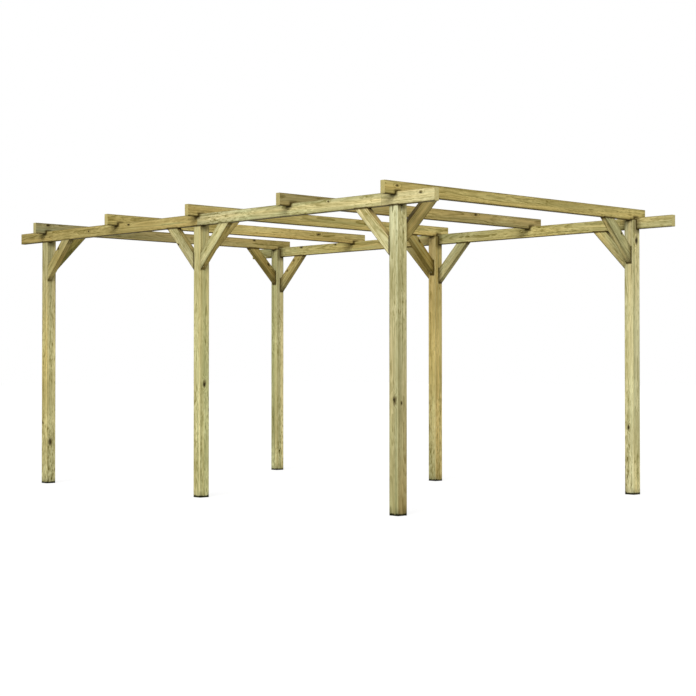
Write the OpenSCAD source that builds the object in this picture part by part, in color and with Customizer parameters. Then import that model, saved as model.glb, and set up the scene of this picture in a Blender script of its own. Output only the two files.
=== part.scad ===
// Open timber carport frame: six posts, two long beams, five rafters laid
// across them and fourteen identical corner braces. Millimetres, +Z up, the
// entrance towards -Y. The origin is on the ground, in the middle of the plan.

/* [Plan] */
// Width over the outer faces of the two rows of posts
row_width = 2880; // [1800:10:4500]
// Distance between neighbouring posts of a row, centre to centre
post_pitch = 2255; // [1300:5:3600]
// Length by which the beams stand out past the end posts
beam_overhang = 355; // [60:5:700]
// Length by which the rafters stand out past the rows
rafter_overhang = 110; // [40:5:500]

/* [Height] */
// Height from the ground to the underside of the beams
clear_height = 2215; // [1600:5:3200]
// Depth of the notches in the beams that the rafters are let into
lap_depth = 20; // [5:1:40]

/* [Timber] */
// Side of the square posts
post_side = 90; // [80:1:160]
// Thickness of the beams
beam_thickness = 45; // [30:1:60]
// Height of the beams
beam_depth = 95; // [70:1:220]
// Thickness of the rafters
rafter_thickness = 45; // [30:1:60]
// Height of the rafters
rafter_depth = 95; // [70:1:220]
// Width of the eased long edges of every board
arris = 3; // [1:0.5:6]

/* [Braces] */
// Length that a brace takes up on its post and on the timber above
brace_leg = 360; // [250:5:560]
// Thickness of the braces
brace_thickness = 45; // [30:1:60]
// Width of the brace boards
brace_depth = 95; // [60:1:120]

/* [Hidden] */
SIDES = ["left", "right"];
PLACES = ["front", "middle", "back"];
RAFTERS = ["front", "front_bay", "middle", "back_bay", "back"];

// Braces under a beam as [place of the post, direction], +1 towards the back
BEAM_BRACES = [[0, 1], [1, -1], [1, 1], [2, -1]];

row_half = row_width / 2;
beam_half = post_pitch + post_side / 2 + beam_overhang;
rafter_length = row_width + 2 * rafter_overhang;
rafter_bottom = clear_height + beam_depth - lap_depth;
post_y = [for (place = [-1:1]) place * post_pitch];
rafter_y = [for (place = [-2:2]) place * post_pitch / 2];

// How far a cutting shape reaches past the face that it cuts
overcut = 1;

function post_name(side, place) = str("post_", PLACES[place], "_", SIDES[side]);
function beam_name(side, half) = str("beam_", PLACES[2 * half], "_", SIDES[side]);
function rafter_name(place) = str("rafter_", RAFTERS[place]);
function beam_brace_name(side, brace) = str(
    "brace_", PLACES[brace[0]], "_", SIDES[side], brace[1] > 0 ? "_backward" : "_forward");
function rafter_brace_name(side, place) = str(
    "brace_", PLACES[place], "_", SIDES[side], "_inward");

// A board standing on its end, with its thickness along +X, its depth along +Y
// and its four long edges eased
module board(length, thickness, depth) {
    linear_extrude(length)
        polygon([
            [arris, 0],
            [thickness - arris, 0],
            [thickness, arris],
            [thickness, depth - arris],
            [thickness - arris, depth],
            [arris, depth],
            [0, depth - arris],
            [0, arris]
        ]);
}

// Moves a piece to a row: X = 0 becomes the outer face of the row, and +X
// points towards the middle of the carport
module in_row(side) {
    mirror([side, 0, 0])
        translate([-row_half, 0, 0])
            children();
}

// A post. Its top is halved: the beam lies in the outer half, and the inner
// half runs up behind the beam to the underside of the rafter.
module post(side, place) {
    color("#c3bb86")
        in_row(side)
            translate([0, post_y[place] - post_side / 2, 0])
                difference() {
                    board(rafter_bottom, post_side, post_side);
                    translate([-overcut, -overcut, clear_height])
                        cube([
                            beam_thickness + overcut,
                            post_side + 2 * overcut,
                            beam_depth
                        ]);
                }
}

// The front or back half of a beam. The halves meet over the middle post, and
// the notches in the top take the rafters.
module beam(side, half) {
    color("#cdc694")
        in_row(side)
            translate([0, half * beam_half, clear_height])
                difference() {
                    rotate([90, 0, 0])
                        board(beam_half, beam_thickness, beam_depth);
                    for (y = rafter_y)
                        translate([
                            -overcut,
                            y - rafter_thickness / 2 - half * beam_half,
                            beam_depth - lap_depth
                        ])
                            cube([
                                beam_thickness + 2 * overcut,
                                rafter_thickness,
                                lap_depth + overcut
                            ]);
                }
}

// A straight rafter across both beams, centred on its place along the carport
module rafter(place) {
    color("#b7a56b")
        translate([
            -rafter_length / 2,
            rafter_y[place] - rafter_thickness / 2,
            rafter_bottom
        ])
            rotate([90, 0, 90])
                board(rafter_length, rafter_thickness, rafter_depth);
}

// A brace in the corner under a timber: the post is at Y = 0 and the timber at
// Z = 0. The ends are cut level and plumb to fit the two.
module brace() {
    intersection() {
        translate([0, 0, -brace_leg])
            rotate([-45, 0, 0])
                translate([0, -brace_depth, -brace_leg])
                    board(3 * brace_leg, brace_thickness, brace_depth);
        translate([0, 0, -brace_leg])
            cube([brace_thickness, brace_leg, brace_leg]);
    }
}

// A brace from a post to the beam, flush with the outer faces of both
module beam_brace(side, place, direction) {
    color("#bfb27a")
        in_row(side)
            translate([0, post_y[place] + direction * post_side / 2, clear_height])
                mirror([0, direction > 0 ? 0 : 1, 0])
                    brace();
}

// A brace from the inner face of a post to the rafter, in line with both
module rafter_brace(side, place) {
    color("#b3a46c")
        in_row(side)
            translate([post_side, post_y[place] + brace_thickness / 2, rafter_bottom])
                rotate([0, 0, -90])
                    brace();
}

for (side = [0:1], place = [0:2])
    post(side, place);
for (side = [0:1], half = [0:1])
    beam(side, half);
for (place = [0:4])
    rafter(place);
for (side = [0:1], brace = BEAM_BRACES)
    beam_brace(side, brace[0], brace[1]);
for (side = [0:1], place = [0:2])
    rafter_brace(side, place);
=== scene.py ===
"""The looks of an open timber carport frame: six posts, four beam halves, five
rafters and fourteen corner braces of planed, pressure-treated pine, screwed together.

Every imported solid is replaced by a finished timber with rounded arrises, sawn ends
and drying checks, and with countersinks where screws go in. Lengths are in metres,
apart from the tables that say millimetres.
"""

import math
import random

import bpy
from mathutils import Matrix, Vector


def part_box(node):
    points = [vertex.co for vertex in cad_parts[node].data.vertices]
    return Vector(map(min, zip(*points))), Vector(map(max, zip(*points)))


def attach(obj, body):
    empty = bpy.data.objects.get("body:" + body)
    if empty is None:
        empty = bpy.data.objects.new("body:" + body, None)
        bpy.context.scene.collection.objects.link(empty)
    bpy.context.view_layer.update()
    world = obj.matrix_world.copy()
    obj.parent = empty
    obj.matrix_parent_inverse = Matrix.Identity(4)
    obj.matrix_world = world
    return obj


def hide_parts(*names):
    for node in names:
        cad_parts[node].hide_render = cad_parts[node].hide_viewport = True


MM = 0.001

# Planed sections and saw cuts
ARRIS = 3.2 * MM
ARRIS_STEPS = 3
SAWN_EDGE = 0.6 * MM
BEAM_THICKNESS = 45 * MM
BRACE_DEPTH = 95 * MM
FINGER_JOINT_FROM_MIDDLE = 2133 * MM
SMOOTH_UNDER = math.radians(38)

# How far a cutting shape reaches past the face that it cuts
OVERCUT = 10 * MM

# Growth of the timber
RING_WIDTH = 5.6 * MM
PITH_WANDER = 42 * MM
RING_RIPPLE = 12 * MM
STRAY_KNOT_REACH = 60 * MM

# Countersunk screws
HEAD_RADIUS = 4.8 * MM
HEAD_THICKNESS = 1.6 * MM
HEAD_SINK = 0.5 * MM
DRIVE_RADIUS = 2.3 * MM
DRIVE_DEPTH = 1.1 * MM
DRIVE_PINCH = 0.74
RIM_WIDTH = 0.5 * MM
RIM_DROP = 0.12 * MM
COUNTERSINK_DEPTH = 2.4 * MM
COUNTERSINK_FLOOR = HEAD_RADIUS - 0.6 * MM
COUNTERSINK_MOUTH = HEAD_RADIUS + 1.1 * MM
TURN_BETWEEN_SCREWS = 0.7
HEAD_SIDES = 24
POST_SCREWS_UP = (22 * MM, 54 * MM)
POST_SCREWS_ASIDE = 24 * MM
BRACE_SCREWS_FROM_END = 34 * MM
BRACE_SCREWS_ASIDE = 11 * MM

# Colours of the timber and of the screws
CREAM = "#d9cf9a"
STRAW = "#c6bd86"
SAGE = "#c3bf93"
MIST = "#cfcda0"
OAT = "#b6ae80"
FENNEL = "#b8b680"
OLIVE = "#a6a171"
BLOND = "#e6d39a"
BUTTER = "#dac581"
GOLD = "#c8b471"
TAN = "#baaa6a"
HONEY = "#ae9d62"
DUN = "#a09160"
UMBER = "#97864c"
PEAT = "#8c793d"
MOSS = "#837b43"
# Soil on the arrises, also used as painted shade
SOIL_AND_SHADE = "#6a5a28"
TREATED = "#8c9768"
KNOT = "#4a3a12"
BARK = "#1d1406"
WEATHERED = "#97936c"
CUT_END = "#c0b47a"
DAMP = "#191b05"
# Grime in the joints, also used as painted shade
GRIME_AND_SHADE = "#3c2e06"
SHADE = "#1f1804"
ZINC = "#b3a46c"
DULL_ZINC = "#8b8a78"

# How much red, green and blue change where the tone of the pine changes: blue the most
SWING = (0.50, 0.52, 0.68)
UNCHANGED = (1.0, 1.0, 1.0)

# ---------------------------------------------------------------- shader maths


def linear(colour):
    """The red, green, blue and alpha of a colour such as #cfc48f, as light."""
    levels = [int(colour[i : i + 2], 16) / 255 for i in (1, 3, 5)]
    return [c / 12.92 if c <= 0.04045 else ((c + 0.055) / 1.055) ** 2.4 for c in levels] + [1]


class Number:
    """A socket that holds a number. Arithmetic on it adds Math nodes."""

    def __init__(self, finish, socket):
        self.finish, self.socket = finish, socket

    def __add__(self, other):
        return self.finish.math("ADD", self, other)

    def __sub__(self, other):
        return self.finish.math("SUBTRACT", self, other)

    def __rsub__(self, other):
        return self.finish.math("SUBTRACT", other, self)

    def __mul__(self, other):
        return self.finish.math("MULTIPLY", self, other)

    def __truediv__(self, other):
        return self.finish.math("DIVIDE", self, other)

    __radd__ = __add__
    __rmul__ = __mul__

    def of(self, operation):
        """The result of a Math node that takes one number, such as ABSOLUTE."""
        return self.finish.math(operation, self)


class Triple(Number):
    """A socket that holds a vector or a colour. Arithmetic adds Vector Math nodes."""

    def __add__(self, other):
        return self.finish.vector_math("ADD", {0: self, 1: other})

    def __sub__(self, other):
        return self.finish.vector_math("SUBTRACT", {0: self, 1: other})

    def __mul__(self, other):
        if isinstance(other, (Triple, tuple)):
            return self.finish.vector_math("MULTIPLY", {0: self, 1: other})
        return self.finish.scaled(self, other)

    def dot(self, other):
        return self.finish.vector_math("DOT_PRODUCT", {0: self, 1: other}, "Value")

    def absolute(self):
        """The same without minus signs."""
        return self.finish.vector_math("ABSOLUTE", {0: self})

    def length(self):
        return self.finish.vector_math("LENGTH", {0: self}, "Value")

    def parts(self):
        """Its three numbers."""
        return [self.finish.node("SeparateXYZ", {0: self}, axis) for axis in "XYZ"]


class Finish:
    """A material or the sky, written as expressions on sockets."""

    def __init__(self, owner, shader="Principled BSDF"):
        self.owner = owner
        owner.use_nodes = True
        self.tree = owner.node_tree
        self.shader = self.tree.nodes[shader]

    def node(self, kind, sockets, output=0, stops=(), **settings):
        """Adds a node, and gives one of its outputs. A ramp gets its colours evenly spaced."""
        made = self.tree.nodes.new("ShaderNode" + kind)
        for number, colour in enumerate(stops):
            ramp, place = made.color_ramp.elements, number / (len(stops) - 1)
            stop = ramp[number] if number < 2 else ramp.new(place)
            stop.position, stop.color = place, colour
        for setting, value in settings.items():
            setattr(made, setting, value)
        for key, value in sockets.items():
            self.feed(made.inputs[key], value)
        found = made.outputs[output]
        return (Number if found.type == "VALUE" else Triple)(self, found)

    def feed(self, socket, value):
        """Links a socket to another one, or sets it."""
        if isinstance(value, Number):
            self.tree.links.new(value.socket, socket)
        else:
            socket.default_value = value

    def dress(self, sockets):
        """Feeds the shader's own sockets, each with a link or a value."""
        for name, value in sockets.items():
            self.feed(self.shader.inputs[name], value)

    def math(self, operation, *values):
        return self.node("Math", dict(enumerate(values)), operation=operation)

    def vector_math(self, operation, sockets, output=0):
        return self.node("VectorMath", sockets, output, operation=operation)

    def scaled(self, vector, number):
        """A vector or colour, times a number."""
        return self.vector_math("SCALE", {0: vector, "Scale": number})

    def mix(self, share, under, over):
        """The colour that goes from one to the other as the share goes from 0 to 1."""
        return self.node("Mix", {0: share, 6: under, 7: over}, 2, data_type="RGBA")

    def rise(self, value, low, high):
        """0 at low, 1 at high, and smooth between them."""
        sockets = {0: value, 1: low, 2: high}
        return self.node("MapRange", sockets, interpolation_type="SMOOTHSTEP")

    def noise(self, place, detail=2.0, output=0):
        """Clouds about one unit across."""
        return self.node("TexNoise", {"Vector": place, "Scale": 1.0, "Detail": detail}, output)

    def drift(self, place, detail=2.0):
        """Clouds of small shifts to all sides."""
        return self.noise(place, detail, 1) - (0.5, 0.5, 0.5)


# ---------------------------------------------------------------- the boards


UP, BACK, RIGHT = Vector((0, 0, 1)), Vector((0, 1, 0)), Vector((1, 0, 0))


def touches(name):
    """The boxes in which a timber meets others: a brace only meets them at its two cuts."""
    low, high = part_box(name)
    if name.startswith("post"):
        shaft, tongue = (low, high.copy()), (low.copy(), high.copy())
        shaft[1].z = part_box("beam_front_left")[0].z
        if low.x < 0:
            tongue[0].x = low.x + BEAM_THICKNESS
        else:
            tongue[1].x = high.x - BEAM_THICKNESS
        return [shaft, tongue]
    if not name.startswith("brace"):
        return [(low, high)]
    _, place, side, kind = name.split("_")
    post_low, post_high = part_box(f"post_{place}_{side}")
    axis = 0 if kind == "inward" else 1
    cut_length = BRACE_DEPTH * math.sqrt(2)
    foot, head = (low.copy(), high.copy()), (low.copy(), high.copy())
    foot[1].z = low.z + cut_length
    head[0].z = high.z
    if low[axis] > (post_low[axis] + post_high[axis]) / 2:
        foot[1][axis] = low[axis]
        head[0][axis] = high[axis] - cut_length
    else:
        foot[0][axis] = high[axis]
        head[1][axis] = low[axis] + cut_length
    return [foot, head]


def meetings_of(name):
    """The boxes of the timbers that touch this one, how far the painted shade spreads from them
    into the corners, and how dark the joint line is, which is partly grime and partly a painted
    contact shadow.

    Where two beams butt there is neither, and the joint lines of the left row's forward braces are
    lighter.
    """
    own_low, own_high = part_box(name)
    found = []
    for other in sorted(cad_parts):
        butted = name.startswith("beam") and other.startswith("beam")
        spread = 30 * MM if "rafter" in name + other else 62 * MM
        darkness = 0.3 if "left_forward" in name + other else 0.8
        for low, high in () if other == name or butted else touches(other):
            if all(low[i] < own_high[i] + MM and high[i] > own_low[i] - MM for i in range(3)):
                found.append((low, high, spread, darkness))
    return found


class Board:
    """A straight timber: where its middle is, its directions, size, pith and knots.

    Its own X runs along the grain, Y across its depth and Z through its thickness.
    """

    def __init__(self, name, middle, along, across, size):
        self.name, self.middle, self.size = name, middle, Vector(size)
        self.family = name.split("_")[0]
        self.along, self.across = along, across
        self.axes = Matrix((along, across, along.cross(across))).transposed()
        self.dice = random.Random(name)
        self.pith = Vector((0, *PITH[self.family])) * MM
        self.splice = None
        self.knots = []
        if self.family != "brace":
            self.add_stray_knots()
        for face, at, offset, radius in KNOTS.get(name, ()):
            self.add_knot(self.on_face(face, at * MM, offset * MM), radius * MM)

    def place(self, *own):
        """A point of the board, in the directions of the whole frame."""
        return self.middle + self.axes @ Vector(own)

    def on_face(self, face, at, offset):
        """A point on the board's +Y, -Y, +Z or -Z side, along it and across it from the middle."""
        way = -1 if face[0] == "-" else 1
        if face[1] == "Y":
            return Vector((at, way * self.size.y / 2, offset))
        return Vector((at, offset, way * self.size.z / 2))

    def add_stray_knots(self):
        """A few small knots on the poorer sides, each a branch that grew out of the pith."""
        poor_side = math.radians(POOR_SIDE[self.family])
        at = -self.size.x / 2 + self.dice.uniform(0.05, 0.45)
        while at < self.size.x / 2 - 0.08:
            angle = poor_side + self.dice.uniform(-0.6, 0.6)
            radius = self.dice.uniform(3.0, 6.5) * MM
            toward = Vector((0.25, math.cos(angle), math.sin(angle)))
            self.knots.append((at, toward, radius, STRAY_KNOT_REACH))
            at += self.dice.uniform(0.45, 0.95)

    def add_knot(self, point, radius):
        """A knot that comes out at a chosen point of a side."""
        out = point - self.pith
        self.knots.append((out.x, Vector((0.0, out.y, out.z)), radius, None))


def square_board(name, along, across):
    """A board that lies square in the frame and fills its solid's box."""
    low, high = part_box(name)
    directions = (along, across, along.cross(across))
    size = [abs((high - low).dot(direction)) for direction in directions]
    return Board(name, (low + high) / 2, along, across, size)


# ---------------------------------------------------------------- the finishes


class Pine(Finish):
    """Planed, pressure-treated pine, with its growth rings round the board's pith."""

    def __init__(self, board):
        super().__init__(bpy.data.materials.new(board.name))
        self.board, self.half = board, board.size / 2
        self.find_place()
        self.find_finger_joint()
        self.add_grain()
        self.find_knots()
        self.grow_rings()
        colour = self.grown()
        for change in (self.arris_soil_and_light, self.knotted, self.sawn, self.grime_and_painted_shade, self.shaded, self.damp):
            colour = change(colour)
        height = self.late * 0.35 + self.fibre * 0.4 - self.core * 0.5 - self.joint * 0.6
        bump = {"Strength": 0.35, "Distance": 0.5 * MM, "Height": height + self.end * self.dapple}
        self.dress(
            {
                "Base Color": colour,
                "Roughness": self.fibre * 0.2 + self.late * -0.1 + 0.62,
                "Normal": self.node("Bump", bump),
                "Specular IOR Level": 0.08,
            }
        )

    def find_place(self):
        """Where a point is, in the frame and in the board, and which way its surface faces."""
        board = self.board
        self.whole = self.node("TexCoord", {}, "Object")
        self.normal = self.node("TexCoord", {}, "Normal")
        turn = {"Vector": self.whole, "Location": board.middle, "Rotation": board.axes.to_euler()}
        self.point = self.node("Mapping", turn, vector_type="TEXTURE")
        self.x, self.y, self.z = self.point.parts()
        self.share = self.x / board.size.x + 0.5
        self.end = self.rise(self.normal.dot(board.along).of("ABSOLUTE"), 0.5, 0.9)
        self.across = self.normal.dot(board.across).of("ABSOLUTE")
        to_sides = [side - at.of("ABSOLUTE") for side, at in zip(self.half.yz, (self.y, self.z))]
        self.to_arris = self.math("MAXIMUM", *to_sides)
        self.lot = self.point + Vector([board.dice.uniform(-40, 40) for _ in range(3)])

    def find_finger_joint(self):
        """Beyond its finger joint a beam goes on as another length of timber."""
        self.joint, self.beyond = 0.0, 0.0
        if self.board.splice:
            place, way = self.board.splice
            self.beyond = self.math("GREATER_THAN", self.x * way, place * way)
            self.joint = self.rise((self.x - place).of("ABSOLUTE"), 2.2 * MM, 0.6 * MM)
            self.lot = self.lot + self.scaled((17.0, 9.0, 5.0), self.beyond)
            self.point = self.point + self.scaled((0.0, 9 * MM, 14 * MM), self.beyond)

    def add_grain(self):
        """Flecks, fibres and streaks along the grain, and wider bands and patches."""
        lot = self.lot
        self.fleck = self.noise(lot * (24.0, 90.0, 90.0), 1.0)
        self.fibre = self.noise(lot * (6.0, 280.0, 280.0), 2.0)
        self.streak = self.noise(lot * (1.0, 52.0, 52.0), 1.0)
        self.band = self.noise(lot * (0.5, 26.0, 26.0), 1.0)
        self.dapple = self.noise(lot * (13.0, 58.0, 58.0), 2.0)
        self.patch = self.noise(lot * (2.0, 8.0, 8.0), 1.0)
        start, end = FIGURE.get(self.board.name, (0.35, 0.35))
        lively = self.rise(self.noise(lot * (2.2, 4.0, 4.0), 1.0), 0.38, 0.62)
        lively = (lively * 1.2 + 0.3) * (self.share * (end - start) + start)
        self.lively = lively * (1.0 - self.beyond * 0.6)

    def find_knots(self):
        """How far the rings bend round the knots, and how much knot and rim is here."""
        self.bend, self.core, self.rim = 0.0, 0.0, 0.0
        ragged = (self.fleck - 0.5) * 2.2
        for at, toward, radius, reach in self.board.knots:
            toward = toward.normalized()
            from_pith = self.point - (self.board.pith + Vector((at, 0, 0)))
            out = self.math("MAXIMUM", from_pith.dot(toward), 0.0)
            off = from_pith - self.scaled(toward, out)
            distance = (off * (0.55, 1.0, 1.0)).length() / radius + ragged
            around = (off * (0.35, 1.0, 1.0)).length() / radius
            if reach:
                over = self.rise(out, reach, reach + 4 * MM) * 9.0
                distance, around = distance + over, around + over
            self.bend = self.rise(around, 3.0, 0.3) * (1.3 * radius) + self.bend
            self.core = self.math("MAXIMUM", self.core, self.rise(distance, 1.0, 0.5))
            self.rim = self.math("MAXIMUM", self.rim, self.rise(distance, 2.0, 0.9))

    def grow_rings(self):
        """Tubes round a pith that wanders and leans a little, each darker in its late wood."""
        board = self.board
        wander = self.drift(self.lot * (1.3, 6.0, 6.0)) * PITH_WANDER
        ripple = self.drift(self.lot * (15.0, 55.0, 55.0), 1.0) * self.lively * RING_RIPPLE
        lean = board.dice.uniform(-0.016, 0.016)
        from_pith = self.point - board.pith + wander + ripple
        flat = (from_pith + self.scaled((0.0, lean, -lean), self.x)) * (0, 1, 1)
        ring = (flat.length() + self.bend) / RING_WIDTH
        in_ring = ring.of("FRACT")
        year = self.node("TexWhiteNoise", {"W": ring.of("FLOOR")}, noise_dimensions="1D")
        late = self.rise(in_ring, 0.3, 0.9) * self.rise(in_ring, 1.0, 0.93)
        self.late = late * (year * 0.7 + 0.4)

    def ramp(self, tones):
        """The board's tones, evenly along it."""
        return self.node("ValToRGB", {0: self.share}, stops=[linear(tone) for tone in tones])

    def grown(self):
        """The colour of the timber as it grew, was treated and dried."""
        name, half = self.board.name, self.half
        colour, lopsided = self.ramp(TONES[name]), 0.0
        if name in SIDE_TONES:
            on_side = self.rise(self.across, 0.6, 0.8)
            colour = self.mix(on_side, colour, self.ramp(SIDE_TONES[name]))
            lopsided = self.y / half.y * (1.0 - on_side) + self.z / half.z * on_side
        warmth = self.scaled((0.26, 0.0, -0.3), self.band - 0.5)
        colour = colour * (warmth + UNCHANGED)
        treated = self.rise(self.patch + (self.streak - 0.5) * 0.9, 0.58, 0.8)
        colour = self.mix(treated * TREATED_SHARE[self.board.family], colour, linear(TREATED))
        light_fleck = self.rise(self.fleck, 0.42, 0.3) * self.lively
        dark_fleck = self.rise(self.fleck, 0.56, 0.7) * self.lively
        tone = self.rise(self.streak, 0.36, 0.64) * (self.lively * 0.3 + 0.3)
        tone = tone + self.rise(self.dapple, 0.35, 0.65) * (self.lively * 0.35 + 0.15)
        tone = tone + (self.patch - 0.5) * 1.2 + (self.fibre - 0.5) * 0.5 - self.late * 0.85
        tone = tone - dark_fleck * 0.9 + light_fleck * 0.4
        tone = tone + (self.band - 0.5) * 0.7 - lopsided * 0.2 - 0.15
        colour = colour * (self.scaled(SWING, tone) + UNCHANGED) * (1.0 - self.beyond * 0.1)
        # On these boards the light flecks are greyer too, and not only lighter.
        if name in SIDE_TONES:
            colour = self.mix(light_fleck * 0.4, colour, linear(MIST))
        return colour

    def arris_soil_and_light(self, colour):
        """Arrises are darker, partly soil and partly painted shade; a post's left and right sides
        get a painted highlight on their front arrises instead.
        """
        beside = self.rise(self.across, 0.8, 0.6)
        if self.board.family == "post":
            edge = self.rise(self.to_arris, 8 * MM, 2 * MM) * 0.5
            pale = beside * self.math("LESS_THAN", self.y, 0.0)
            # Painted highlight on the front arrises of a post's left and right sides.
            colour = self.mix(edge * pale, colour, linear(CREAM))
            return self.mix(edge * (1.0 - pale), colour, linear(MOSS))
        width = 11 * MM if self.board.family == "rafter" else 7 * MM
        # Painted shade along the lowest edge of the sides of beams, rafters and braces.
        lowest = self.rise(self.y + self.half.y, 10 * MM, 3 * MM) * beside * 0.5
        colour = self.mix(lowest, colour, linear(SHADE))
        # Arrises darkened: partly soil, partly painted shade.
        return self.mix(self.rise(self.to_arris, width, 1.5 * MM) * 0.56, colour, linear(SOIL_AND_SHADE))

    def knotted(self, colour):
        """Knots are nearly black with a ragged brown rim, and finger joints are dark lines."""
        if self.board.knots:
            colour = self.mix(self.rim * 0.7, colour, linear(KNOT))
            colour = self.mix(self.core * 0.85, colour, linear(BARK))
        return self.mix(self.joint * 0.5, colour, linear(KNOT))

    def sawn(self, colour):
        """Cut ends are paler and greyer than the sides."""
        return self.mix(self.end * 0.6, colour, linear(CUT_END))

    def grime_and_painted_shade(self, colour):
        """Joints get grime and a painted contact shadow, and painted shade spreads into the
        corners.
        """
        joints, corner_shade = 0.0, 0.0
        facing = self.normal.absolute()
        for low, high, spread, darkness in meetings_of(self.board.name):
            from_middle = self.whole - (low + high) / 2
            beside = from_middle.absolute() - (high - low) / 2
            gap = self.vector_math("MAXIMUM", {0: beside, 1: (0, 0, 0)}).length()
            gap = gap + (self.dapple - 0.5) * (10 * MM)
            proud = facing.dot((high - low) / 2) - from_middle.dot(self.normal)
            corner = self.rise(gap, spread, spread / 4) * self.rise(proud, 4 * MM, 30 * MM)
            joints = self.math("MAXIMUM", joints, self.rise(gap, 12 * MM, 5 * MM) * darkness)
            corner_shade = self.math("MAXIMUM", corner_shade, corner)
        # Painted shade in the corners, and at the joints a dark line of grime and painted contact
        # shadow.
        colour = self.mix(corner_shade * 0.6, colour, linear(GRIME_AND_SHADE))
        return self.mix(joints, colour, linear(GRIME_AND_SHADE))

    def shaded(self, colour):
        """Painted shade darkens the undersides and the upper sloping sides of the braces."""
        underside_shade = 0.85
        if self.board.family == "brace":
            underside_shade = 0.3
            ledge_shade = 0.85 if self.board.name.endswith("inward") else 0.4
            ledge = self.rise(self.normal.dot(self.board.across), 0.8, 0.95)
            # Painted shade on the braces' upper sloping sides.
            colour = self.mix(ledge * ledge_shade, colour, linear(GRIME_AND_SHADE))
        # Painted shade on the undersides.
        underside = self.rise(self.normal.dot((0.0, 0.0, -1.0)), 0.75, 0.95)
        return self.mix(underside * underside_shade, colour, linear(SHADE))

    def damp(self, colour):
        """A post's foot is dark from the wet ground, and its arrises a little higher up."""
        if self.board.family != "post":
            return colour
        ground = self.x + self.half.x
        foot = self.rise(ground - self.dapple * (16 * MM), 14 * MM, 0.0) * 0.85
        splashed = self.rise(ground - self.dapple * (50 * MM), 45 * MM, 0.0) * 0.15
        arrises = self.rise(ground, 70 * MM, 0.0) * self.rise(self.to_arris, 30 * MM, 0.0) * 0.4
        return self.mix(foot + splashed + arrises, colour, linear(DAMP))


def zinc():
    """Yellow-passivated zinc on the screw heads, dulled by weather."""
    f = Finish(bpy.data.materials.new("screw_zinc"))
    place = f.node("TexCoord", {}, "Object")
    cloud = f.noise(place * 900.0, 3.0)
    colour = f.mix(f.rise(cloud, 0.3, 0.75), linear(ZINC), linear(DULL_ZINC))
    f.dress({"Base Color": colour, "Roughness": cloud * 0.3 + 0.3, "Metallic": 1.0})
    return f.owner


# ---------------------------------------------------------------- modelling


def take(*pieces):
    """Selects these objects and nothing else. The first one is active."""
    bpy.ops.object.select_all(action="DESELECT")
    for piece in pieces:
        piece.select_set(True)
    bpy.context.view_layer.objects.active = pieces[0]


def settle(piece):
    """Puts the object's place, turn and size into its mesh."""
    take(piece)
    bpy.ops.object.transform_apply(location=True, rotation=True, scale=True)
    return piece


def block(low, high):
    """A box between two corners."""
    bpy.ops.mesh.primitive_cube_add(size=1, location=(low + high) / 2)
    made = bpy.context.object
    made.scale = high - low
    return settle(made)


def edit(piece, kind, chosen):
    """Goes into edit mode with the chosen edges or faces selected."""
    take(piece)
    bpy.ops.object.mode_set(mode="EDIT")
    bpy.ops.mesh.select_mode(type=kind)
    bpy.ops.mesh.select_all(action="DESELECT")
    bpy.ops.object.mode_set(mode="OBJECT")
    for element in piece.data.edges if kind == "EDGE" else piece.data.polygons:
        element.select = chosen(element)
    bpy.ops.object.mode_set(mode="EDIT")


def apply(piece, kind, **settings):
    """Adds a modifier and applies it."""
    take(piece)
    made = piece.modifiers.new(kind.lower(), kind)
    for setting, value in settings.items():
        setattr(made, setting, value)
    bpy.ops.object.modifier_apply(modifier=made.name)


def joined(pieces):
    """Makes several pieces one, which is the first of them."""
    take(*pieces)
    if len(pieces) > 1:
        bpy.ops.object.join()
    return pieces[0]


def cut(piece, cutters, operation="DIFFERENCE"):
    """Cuts a piece with others, which are used up."""
    cutter = joined(cutters)
    apply(piece, "BOOLEAN", operation=operation, object=cutter, solver="EXACT", use_self=True)
    bpy.data.objects.remove(cutter)


def planed(board):
    """The board before any cut: its long arrises are rounded by the planer."""
    bpy.ops.mesh.primitive_cube_add(size=1)
    piece = bpy.context.object
    piece.name = piece.data.name = board.name + "_timber"
    piece.scale = board.size
    settle(piece)

    def is_arris(edge):
        ends = [piece.data.vertices[i].co for i in edge.vertices]
        return abs(ends[0].x - ends[1].x) > board.size.x / 2

    edit(piece, "EDGE", is_arris)
    bpy.ops.mesh.bevel(offset=ARRIS, segments=ARRIS_STEPS, affect="EDGES")
    bpy.ops.object.mode_set(mode="OBJECT")
    piece.matrix_world = Matrix.Translation(board.middle) @ board.axes.to_4x4()
    return settle(piece)


def check_in(board, own, across, length, depth, width):
    """A cutter for a drying check: a thin lens that follows the grain."""
    bpy.ops.mesh.primitive_uv_sphere_add(segments=12, ring_count=8, radius=0.5)
    made = bpy.context.object
    made.scale = (length, 2 * depth, width)
    along = Vector((1, board.dice.uniform(-0.008, 0.008), board.dice.uniform(-0.008, 0.008)))
    along.normalize()
    side = along.cross(across).normalized()
    turn = board.axes @ Matrix((along, side.cross(along), side)).transposed()
    made.matrix_world = Matrix.LocRotScale(board.place(*own), turn.to_quaternion(), made.scale)
    return settle(made)


def side_check(board, at, face, offset, length, width=1.6 * MM, depth=14 * MM):
    """A check on a side, which is +Y, -Y, +Z or -Z of the board."""
    out = (0, 1, 0) if face[1] == "Y" else (0, 0, 1)
    return check_in(board, board.on_face(face, at, offset), out, length, depth, width)


def chosen_checks(board):
    found = []
    for face, *measures in CHECKS.get(board.name, ()):
        at, offset, length, width = (measure * MM for measure in measures)
        found.append(side_check(board, at, face, offset, length, width, 16 * MM))
    return found


def stray_checks(board, reach, spread):
    """Two drying checks anywhere on the two wide sides of a beam or a rafter."""
    found = []
    for _ in range(2):
        at = board.dice.uniform(-reach, reach)
        face = board.dice.choice(["+Z", "-Z"])
        offset = board.dice.uniform(-spread, spread)
        found.append(side_check(board, at, face, offset, board.dice.uniform(0.15, 0.4)))
    return found


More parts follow.
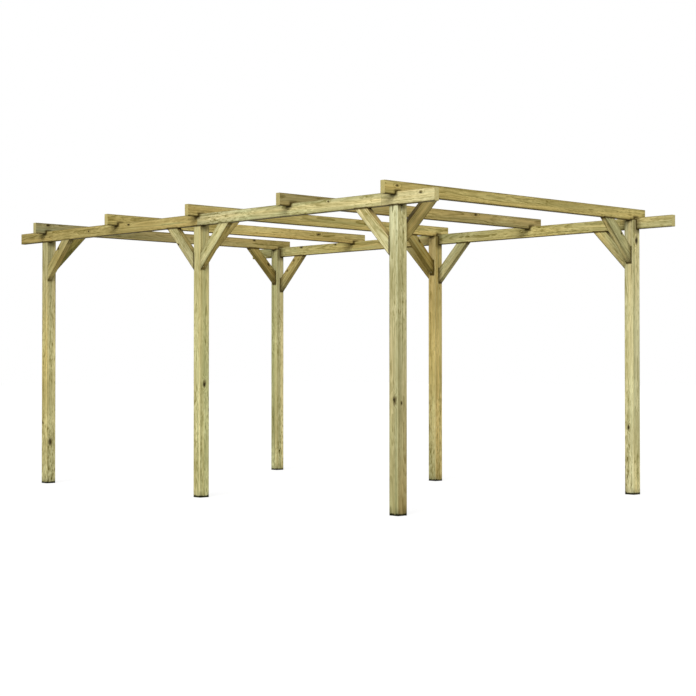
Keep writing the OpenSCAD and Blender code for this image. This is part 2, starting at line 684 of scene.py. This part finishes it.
def end_check(board, end, reach, width=1.3 * MM):
    """A check that opens at an end and points to the pith."""
    angle = board.dice.uniform(0, math.tau)
    out = Vector((0, math.cos(angle), math.sin(angle)))
    middle = board.pith * 0.5 + out * reach / 2
    own = (end * board.size.x / 2, middle.y, middle.z)
    return check_in(board, own, out, board.dice.uniform(0.06, 0.2), reach / 2, width)


def finish(piece, board):
    """Breaks the sawn edges, shades the piece and puts it in place of its solid."""
    apply(
        piece,
        "BEVEL",
        width=SAWN_EDGE,
        segments=1,
        limit_method="ANGLE",
        angle_limit=math.radians(60),
    )
    take(piece)
    bpy.ops.object.shade_smooth_by_angle(angle=SMOOTH_UNDER)
    apply(piece, "WEIGHTED_NORMAL", keep_sharp=True, weight=80)
    piece.data.materials.clear()
    piece.data.materials.append(Pine(board).owner)
    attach(piece, "root")
    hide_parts(board.name)
    board.family + "_timber"


# ---------------------------------------------------------------- screws

heads = {}


def drive(group, point, normal):
    """Notes where a screw head goes, and gives the cutter for its countersink."""
    heads.setdefault(group, []).append((Vector(point), Vector(normal).normalized()))
    bpy.ops.mesh.primitive_cone_add(
        vertices=HEAD_SIDES,
        radius1=COUNTERSINK_FLOOR,
        radius2=COUNTERSINK_MOUTH,
        depth=COUNTERSINK_DEPTH,
    )
    made = bpy.context.object
    made.rotation_mode = "QUATERNION"
    made.rotation_quaternion = Vector(normal).to_track_quat("Z", "Y")
    made.location = point
    return settle(made)


def screw_head():
    """One countersunk head with a six-lobed drive, its face up at the origin."""
    bpy.ops.mesh.primitive_cylinder_add(
        vertices=HEAD_SIDES,
        radius=HEAD_RADIUS,
        depth=HEAD_THICKNESS,
        location=(0, 0, -HEAD_THICKNESS / 2 - HEAD_SINK),
    )
    head = settle(bpy.context.object)
    top = -HEAD_SINK - 0.01 * MM
    edit(head, "FACE", lambda face: face.center.z > top)
    bpy.ops.mesh.inset(thickness=RIM_WIDTH, depth=RIM_DROP)
    bpy.ops.mesh.inset(thickness=HEAD_RADIUS - RIM_WIDTH - DRIVE_RADIUS)
    bpy.ops.object.mode_set(mode="OBJECT")
    mesh = head.data
    star = max(mesh.polygons, key=lambda face: (face.select, face.center.z))
    for step, corner in enumerate(star.vertices):
        if step % 4 in (0, 1):
            mesh.vertices[corner].co.xy *= DRIVE_PINCH
    edit(head, "FACE", lambda face: face.index == star.index)
    bpy.ops.mesh.extrude_region_move(TRANSFORM_OT_translate={"value": (0, 0, -DRIVE_DEPTH)})
    bpy.ops.object.mode_set(mode="OBJECT")
    take(head)
    bpy.ops.object.shade_smooth_by_angle(angle=SMOOTH_UNDER)
    return head


def add_screws():
    """Copies the head to every place that was drilled, one piece for each group."""
    model = screw_head()
    coating = zinc()
    for group, places in heads.items():
        copies = []
        for number, (point, normal) in enumerate(places):
            copy = model.copy()
            copy.data = model.data.copy()
            bpy.context.collection.objects.link(copy)
            copy.rotation_mode = "QUATERNION"
            spin = Matrix.Rotation(number * TURN_BETWEEN_SCREWS, 3, "Z").to_quaternion()
            copy.rotation_quaternion = normal.to_track_quat("Z", "Y") @ spin
            copy.location = point
            copies.append(settle(copy))
        piece = joined(copies)
        piece.name = piece.data.name = "screws_" + group
        piece.data.materials.clear()
        piece.data.materials.append(coating)
        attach(piece, "root")
    bpy.data.objects.remove(model)


# ---------------------------------------------------------------- the timbers

# Each board's tones at its lower, front or left end, in the middle and at the other end
TONES = {
    "post_front_left": (OLIVE, OAT, MIST),
    "post_middle_left": (STRAW, STRAW, STRAW),
    "post_back_left": (OLIVE, TAN, OAT),
    "post_front_right": (OAT, CREAM, OAT),
    "post_middle_right": (OLIVE, GOLD, DUN),
    "post_back_right": (OLIVE, FENNEL, OLIVE),
    "beam_front_left": (CREAM, STRAW, OAT),
    "beam_back_left": (HONEY, HONEY, HONEY),
    "beam_front_right": (STRAW, TAN, OLIVE),
    "beam_back_right": (DUN, TAN, OLIVE),
    "rafter_front": (TAN, TAN, TAN),
    "rafter_front_bay": (DUN, HONEY, DUN),
    "rafter_middle": (HONEY, TAN, GOLD),
    "rafter_back_bay": (TAN, GOLD, HONEY),
    "rafter_back": (WEATHERED, DUN, HONEY),
    "brace_front_left_backward": (CREAM, CREAM, BLOND),
    "brace_middle_left_forward": (OAT, STRAW, CREAM),
    "brace_middle_left_backward": (OAT, OAT, STRAW),
    "brace_back_left_forward": (STRAW, HONEY, OAT),
    "brace_front_right_backward": (STRAW, STRAW, GOLD),
    "brace_middle_right_forward": (STRAW, OAT, OLIVE),
    # Its dark tones are partly painted shade.
    "brace_middle_right_backward": (UMBER, UMBER, WEATHERED),
    "brace_back_right_forward": (WEATHERED, HONEY, HONEY),
    "brace_front_left_inward": (HONEY, HONEY, DUN),
    "brace_middle_right_inward": (UMBER, PEAT, HONEY),
    "brace_middle_left_inward": (HONEY, HONEY, HONEY),
    "brace_back_left_inward": (MOSS, MOSS, UMBER),
    "brace_back_right_inward": (HONEY, UMBER, HONEY),
    "brace_front_right_inward": (STRAW, OLIVE, OLIVE),
}

# The same for the front and back of the posts, and for the sloping sides of some braces. On the
# three left-row braces along the beams, the yellower sides are a painted tint of shade.
SIDE_TONES = {
    "post_front_left": (DUN, OAT, STRAW),
    "post_middle_left": (FENNEL, FENNEL, STRAW),
    "post_back_left": (OLIVE, STRAW, OAT),
    "post_front_right": (STRAW, SAGE, CREAM),
    "post_middle_right": (HONEY, BUTTER, HONEY),
    "post_back_right": (STRAW, CREAM, OAT),
    "brace_front_left_backward": (GOLD, GOLD, GOLD),
    "brace_middle_left_backward": (GOLD, GOLD, GOLD),
    "brace_middle_left_forward": (GOLD, GOLD, GOLD),
    "brace_front_right_inward": (CREAM, CREAM, GOLD),
}

# How lively the grain is at the two ends, where it isn't 0.35
FIGURE = {
    "beam_front_left": (1.1, 0.7),
    "beam_front_right": (0.9, 0.7),
    "post_front_left": (0.1, 0.9),
    "post_middle_left": (1.2, 0.1),
    "post_back_left": (1.2, 0.1),
    "post_front_right": (1.0, 0.2),
    "post_middle_right": (0.6, 0.6),
    "post_back_right": (1.2, 0.2),
    "rafter_front": (0.4, 0.7),
    "brace_front_left_backward": (0.2, 0.2),
}

# Where the pith is, across the board and through it from its middle, in millimetres
PITH = {"post": (18, -12), "beam": (10, 60), "rafter": (12, -55), "brace": (8, 50)}

# The direction of the stray knots, in degrees from a board's own Y to its own Z
POOR_SIDE = {"post": -45, "beam": 270, "rafter": 90}

# How green the treatment left the patches that took up most of it
TREATED_SHARE = {"post": 0.25, "beam": 0.4, "rafter": 0.2, "brace": 0.3}

# Drying checks that stand out, in millimetres: the side, how far along the board and across
# it from the middle, the length and the width
CHECKS = {
    "post_front_left": [
        ("-Y", 300, 35, 660, 2.6),
        ("-Y", 910, 35, 110, 4),
        ("+Z", 1050, 10, 80, 9),
        ("-Y", 1050, 10, 90, 9),
    ],
    "post_front_right": [("+Z", 720, -30, 210, 8)],
}

# Bigger knots in millimetres: the side, how far along the board and across it, the radius
KNOTS = {
    "post_front_left": [("+Z", -325, -10, 12), ("-Y", -345, 10, 6)],
    "post_middle_left": [("-Y", -220, 5, 11)],
    "post_back_left": [("-Y", -765, 10, 13)],
    "post_front_right": [("-Y", 975, 0, 14), ("+Z", -585, 5, 9)],
    "beam_front_left": [("-Z", -1195, 35, 7), ("-Z", -245, 30, 5)],
    "beam_back_left": [("-Z", -375, 25, 7), ("-Z", 225, 5, 6)],
    "beam_back_right": [("-Z", 555, 35, 10), ("-Z", 45, 35, 6)],
    "rafter_front": [("+Z", -1425, 15, 7)],
    "rafter_front_bay": [("+Z", 675, 30, 9)],
    "rafter_back_bay": [("+Z", 920, 15, 9)],
    "rafter_back": [("+Z", -1420, 30, 9), ("+Z", 1060, 35, 9)],
    "brace_back_left_forward": [("+Z", 75, 30, 7)],
    "brace_back_right_forward": [("+Z", -25, 25, 6), ("+Z", 115, 25, 6)],
    "brace_back_right_inward": [("-Z", -45, 25, 9)],
    "brace_front_right_inward": [("-Z", 5, 30, 6)],
    "brace_middle_right_inward": [("-Z", 100, 35, 10)],
    "brace_middle_left_backward": [("-Z", 45, -35, 5)],
}


def add_post(name):
    """A square post, halved at the top for the beam."""
    low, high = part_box(name)
    board = square_board(name, UP, BACK)
    piece = planed(board)
    outer = -1 if low.x < 0 else 1
    outer_face, inner_face = (low.x, high.x) if outer < 0 else (high.x, low.x)
    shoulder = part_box("beam_front_left")[0].z
    tongue = outer_face - outer * BEAM_THICKNESS
    far = outer_face + outer * OVERCUT
    halving = block(
        Vector((min(tongue, far), low.y - OVERCUT, shoulder)),
        Vector((max(tongue, far), high.y + OVERCUT, high.z + OVERCUT)),
    )
    cut(piece, [halving])

    cutters = []
    for side in (-1, 1):
        for row, up in enumerate(POST_SCREWS_UP):
            # A middle post holds two beam halves with four screws, an end post one with two.
            if "middle" in name or (side > 0) == (row > 0):
                aside = board.middle.y + side * POST_SCREWS_ASIDE
                point = (inner_face, aside, shoulder + up)
                cutters.append(drive(name.removeprefix("post_"), point, Vector((-outer, 0, 0))))
    for _ in range(4):
        face = board.dice.choice(["+Y", "-Y", "+Z", "-Z"])
        at = board.dice.uniform(-0.9, 0.8)
        offset = board.dice.uniform(-25, 25) * MM
        cutters.append(side_check(board, at, face, offset, board.dice.uniform(0.15, 0.45)))
    cutters.append(end_check(board, -1, 40 * MM))
    cut(piece, cutters + chosen_checks(board))
    finish(piece, board)


def add_beam(name):
    """Half of a beam, with notches for the rafters and a finger joint near its outer end."""
    low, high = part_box(name)
    board = square_board(name, BACK, UP)
    way = 1 if board.middle.y > 0 else -1
    board.splice = (way * FINGER_JOINT_FROM_MIDDLE - board.middle.y, way)
    piece = planed(board)
    notches = []
    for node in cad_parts:
        r_low, r_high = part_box(node)
        if node.startswith("rafter") and r_high.y > low.y and r_low.y < high.y:
            corner = Vector((low.x - OVERCUT, r_low.y, r_low.z))
            notches.append(block(corner, Vector((high.x + OVERCUT, r_high.y, high.z + OVERCUT))))
    cut(piece, notches)
    cut(piece, stray_checks(board, 1.1, 20 * MM) + [end_check(board, way, 45 * MM)])
    finish(piece, board)


def add_rafter(name):
    """A straight rafter, screwed down into both beams."""
    board = square_board(name, RIGHT, UP)
    piece = planed(board)
    half = "front" if board.middle.y <= 0 else "back"
    cutters = []
    for side, way in (("left", -1), ("right", 1)):
        b_low, b_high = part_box(f"beam_{half}_{side}")
        point = ((b_low.x + b_high.x) / 2, board.middle.y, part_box(name)[1].z)
        cutters.append(drive(name.removeprefix("rafter_") + "_" + side, point, UP))
        cutters.append(end_check(board, way, 40 * MM))
    cut(piece, cutters + stray_checks(board, 1.2, 25 * MM))
    finish(piece, board)


def add_brace(name):
    """A corner brace: a board at 45 degrees, cut plumb and level at its ends."""
    low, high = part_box(name)
    leg = high.z - low.z
    _, place, side, kind = name.split("_")
    post_low, post_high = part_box(f"post_{place}_{side}")
    post = (post_low + post_high) / 2
    middle = (low + high) / 2
    away = RIGHT if kind == "inward" else BACK
    if (middle - post).dot(away) < 0:
        away = -away
    along = (away + UP).normalized()
    inward = (UP - away).normalized()
    foot = middle - (away + UP) * leg / 2
    thickness = min(high.x - low.x, high.y - low.y)
    half_edge = leg / math.sqrt(2)
    centre = foot + along * half_edge + inward * BRACE_DEPTH / 2
    board = Board(name, centre, along, inward, (2.0 * leg, BRACE_DEPTH, thickness))
    piece = planed(board)
    cut(piece, [block(low, high)], "INTERSECT")
    cutters = []
    for end in (-1, 1):
        for row in (-1, 1):
            at = end * (half_edge - BRACE_SCREWS_FROM_END)
            point = board.place(at, -BRACE_DEPTH / 2, row * BRACE_SCREWS_ASIDE)
            cutters.append(drive(f"{place}_{side}", point, -inward))
    cut(piece, cutters)
    finish(piece, board)


MAKERS = {"post": add_post, "beam": add_beam, "rafter": add_rafter, "brace": add_brace}


# ---------------------------------------------------------------- studio

CAMERA_PLACE = (-9.4415, -10.1749, 1.0347)
CAMERA_TURN = (math.radians(90.81), 0, math.radians(-43.64))
CAMERA_LENS = 81.73

# How much light the sky gives, and what the floor reflects, shows and adds where it is seen
SKY = 0.59
FLOOR_BOUNCE = (0.36, 0.34, 0.25, 1)
FLOOR_SEEN = (0.3, 0.3, 0.3, 1)
FLOOR_GLOW = 0.72
FLOOR_SIZE = 160
FLOOR_DROP = 0.2 * MM

# Each lamp's direction, strength and spread in degrees
LAMPS = {
    "key": ((-0.74, -0.42, 0.52), 2.2, 35),
    "front": ((0.15, -0.93, 0.33), 0.2, 90),
    "back": ((0.62, 0.60, 0.50), 0.8, 90),
}


def add_camera():
    """Stands about a metre up, off the front left corner, and looks across the frame."""
    lens = bpy.data.cameras.new("camera")
    lens.lens = CAMERA_LENS
    lens.clip_end = 200
    camera = bpy.data.objects.new("camera", lens)
    camera.location = CAMERA_PLACE
    camera.rotation_euler = CAMERA_TURN
    bpy.context.scene.collection.objects.link(camera)
    bpy.context.scene.camera = camera


def seen_share(f):
    """1 where the camera or a mirror looks straight at it, and 0 where it only gives light."""
    camera, glossy, through = (
        f.node("LightPath", {}, f"Is {kind} Ray") for kind in ("Camera", "Glossy", "Transmission")
    )
    return f.math("MAXIMUM", camera, f.math("MAXIMUM", glossy, through))


def add_floor():
    """A pale floor that looks white and still takes the soft shadows of the feet."""
    bpy.ops.object.select_all(action="DESELECT")
    bpy.ops.mesh.primitive_plane_add(size=FLOOR_SIZE, location=(0, 0, -FLOOR_DROP))
    floor = settle(bpy.context.object)
    floor.name = floor.data.name = "floor"
    f = Finish(bpy.data.materials.new("floor"))
    seen = seen_share(f)
    colour = f.mix(seen, FLOOR_BOUNCE, FLOOR_SEEN)
    f.dress({"Base Color": colour, "Roughness": 1.0, "Specular IOR Level": 0.0})
    glow = f.node("Emission", {"Color": (1, 1, 1, 1), "Strength": seen * FLOOR_GLOW})
    both = f.node("AddShader", {0: Triple(f, f.shader.outputs[0]), 1: glow})
    f.feed(f.tree.nodes["Material Output"].inputs["Surface"], both)
    floor.data.materials.append(f.owner)


def add_light():
    """An even pale sky, a soft lamp at the front left and weaker ones in front and behind."""
    scene = bpy.context.scene
    scene.world = bpy.data.worlds.new("studio")
    f = Finish(scene.world, "Background")
    f.dress({"Color": (1, 1, 1, 1), "Strength": seen_share(f) * (1 - SKY) + SKY})
    for name, (toward, strength, spread) in LAMPS.items():
        lamp = bpy.data.lights.new(name, "SUN")
        lamp.energy = strength
        lamp.angle = math.radians(spread)
        made = bpy.data.objects.new(name, lamp)
        made.rotation_euler = Vector(toward).to_track_quat("Z", "Y").to_euler()
        scene.collection.objects.link(made)


# ---------------------------------------------------------------- the whole

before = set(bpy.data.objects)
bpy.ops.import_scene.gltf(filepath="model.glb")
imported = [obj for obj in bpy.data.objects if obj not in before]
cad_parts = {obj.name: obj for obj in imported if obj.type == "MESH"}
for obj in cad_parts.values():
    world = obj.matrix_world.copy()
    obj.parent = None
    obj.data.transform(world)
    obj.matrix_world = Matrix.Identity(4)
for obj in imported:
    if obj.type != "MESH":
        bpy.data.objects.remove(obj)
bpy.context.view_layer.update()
bpy.context.scene.view_settings.view_transform = "Standard"
add_camera()
add_floor()
add_light()
for node in sorted(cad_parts):
    MAKERS[node.split("_")[0]](node)
add_screws()
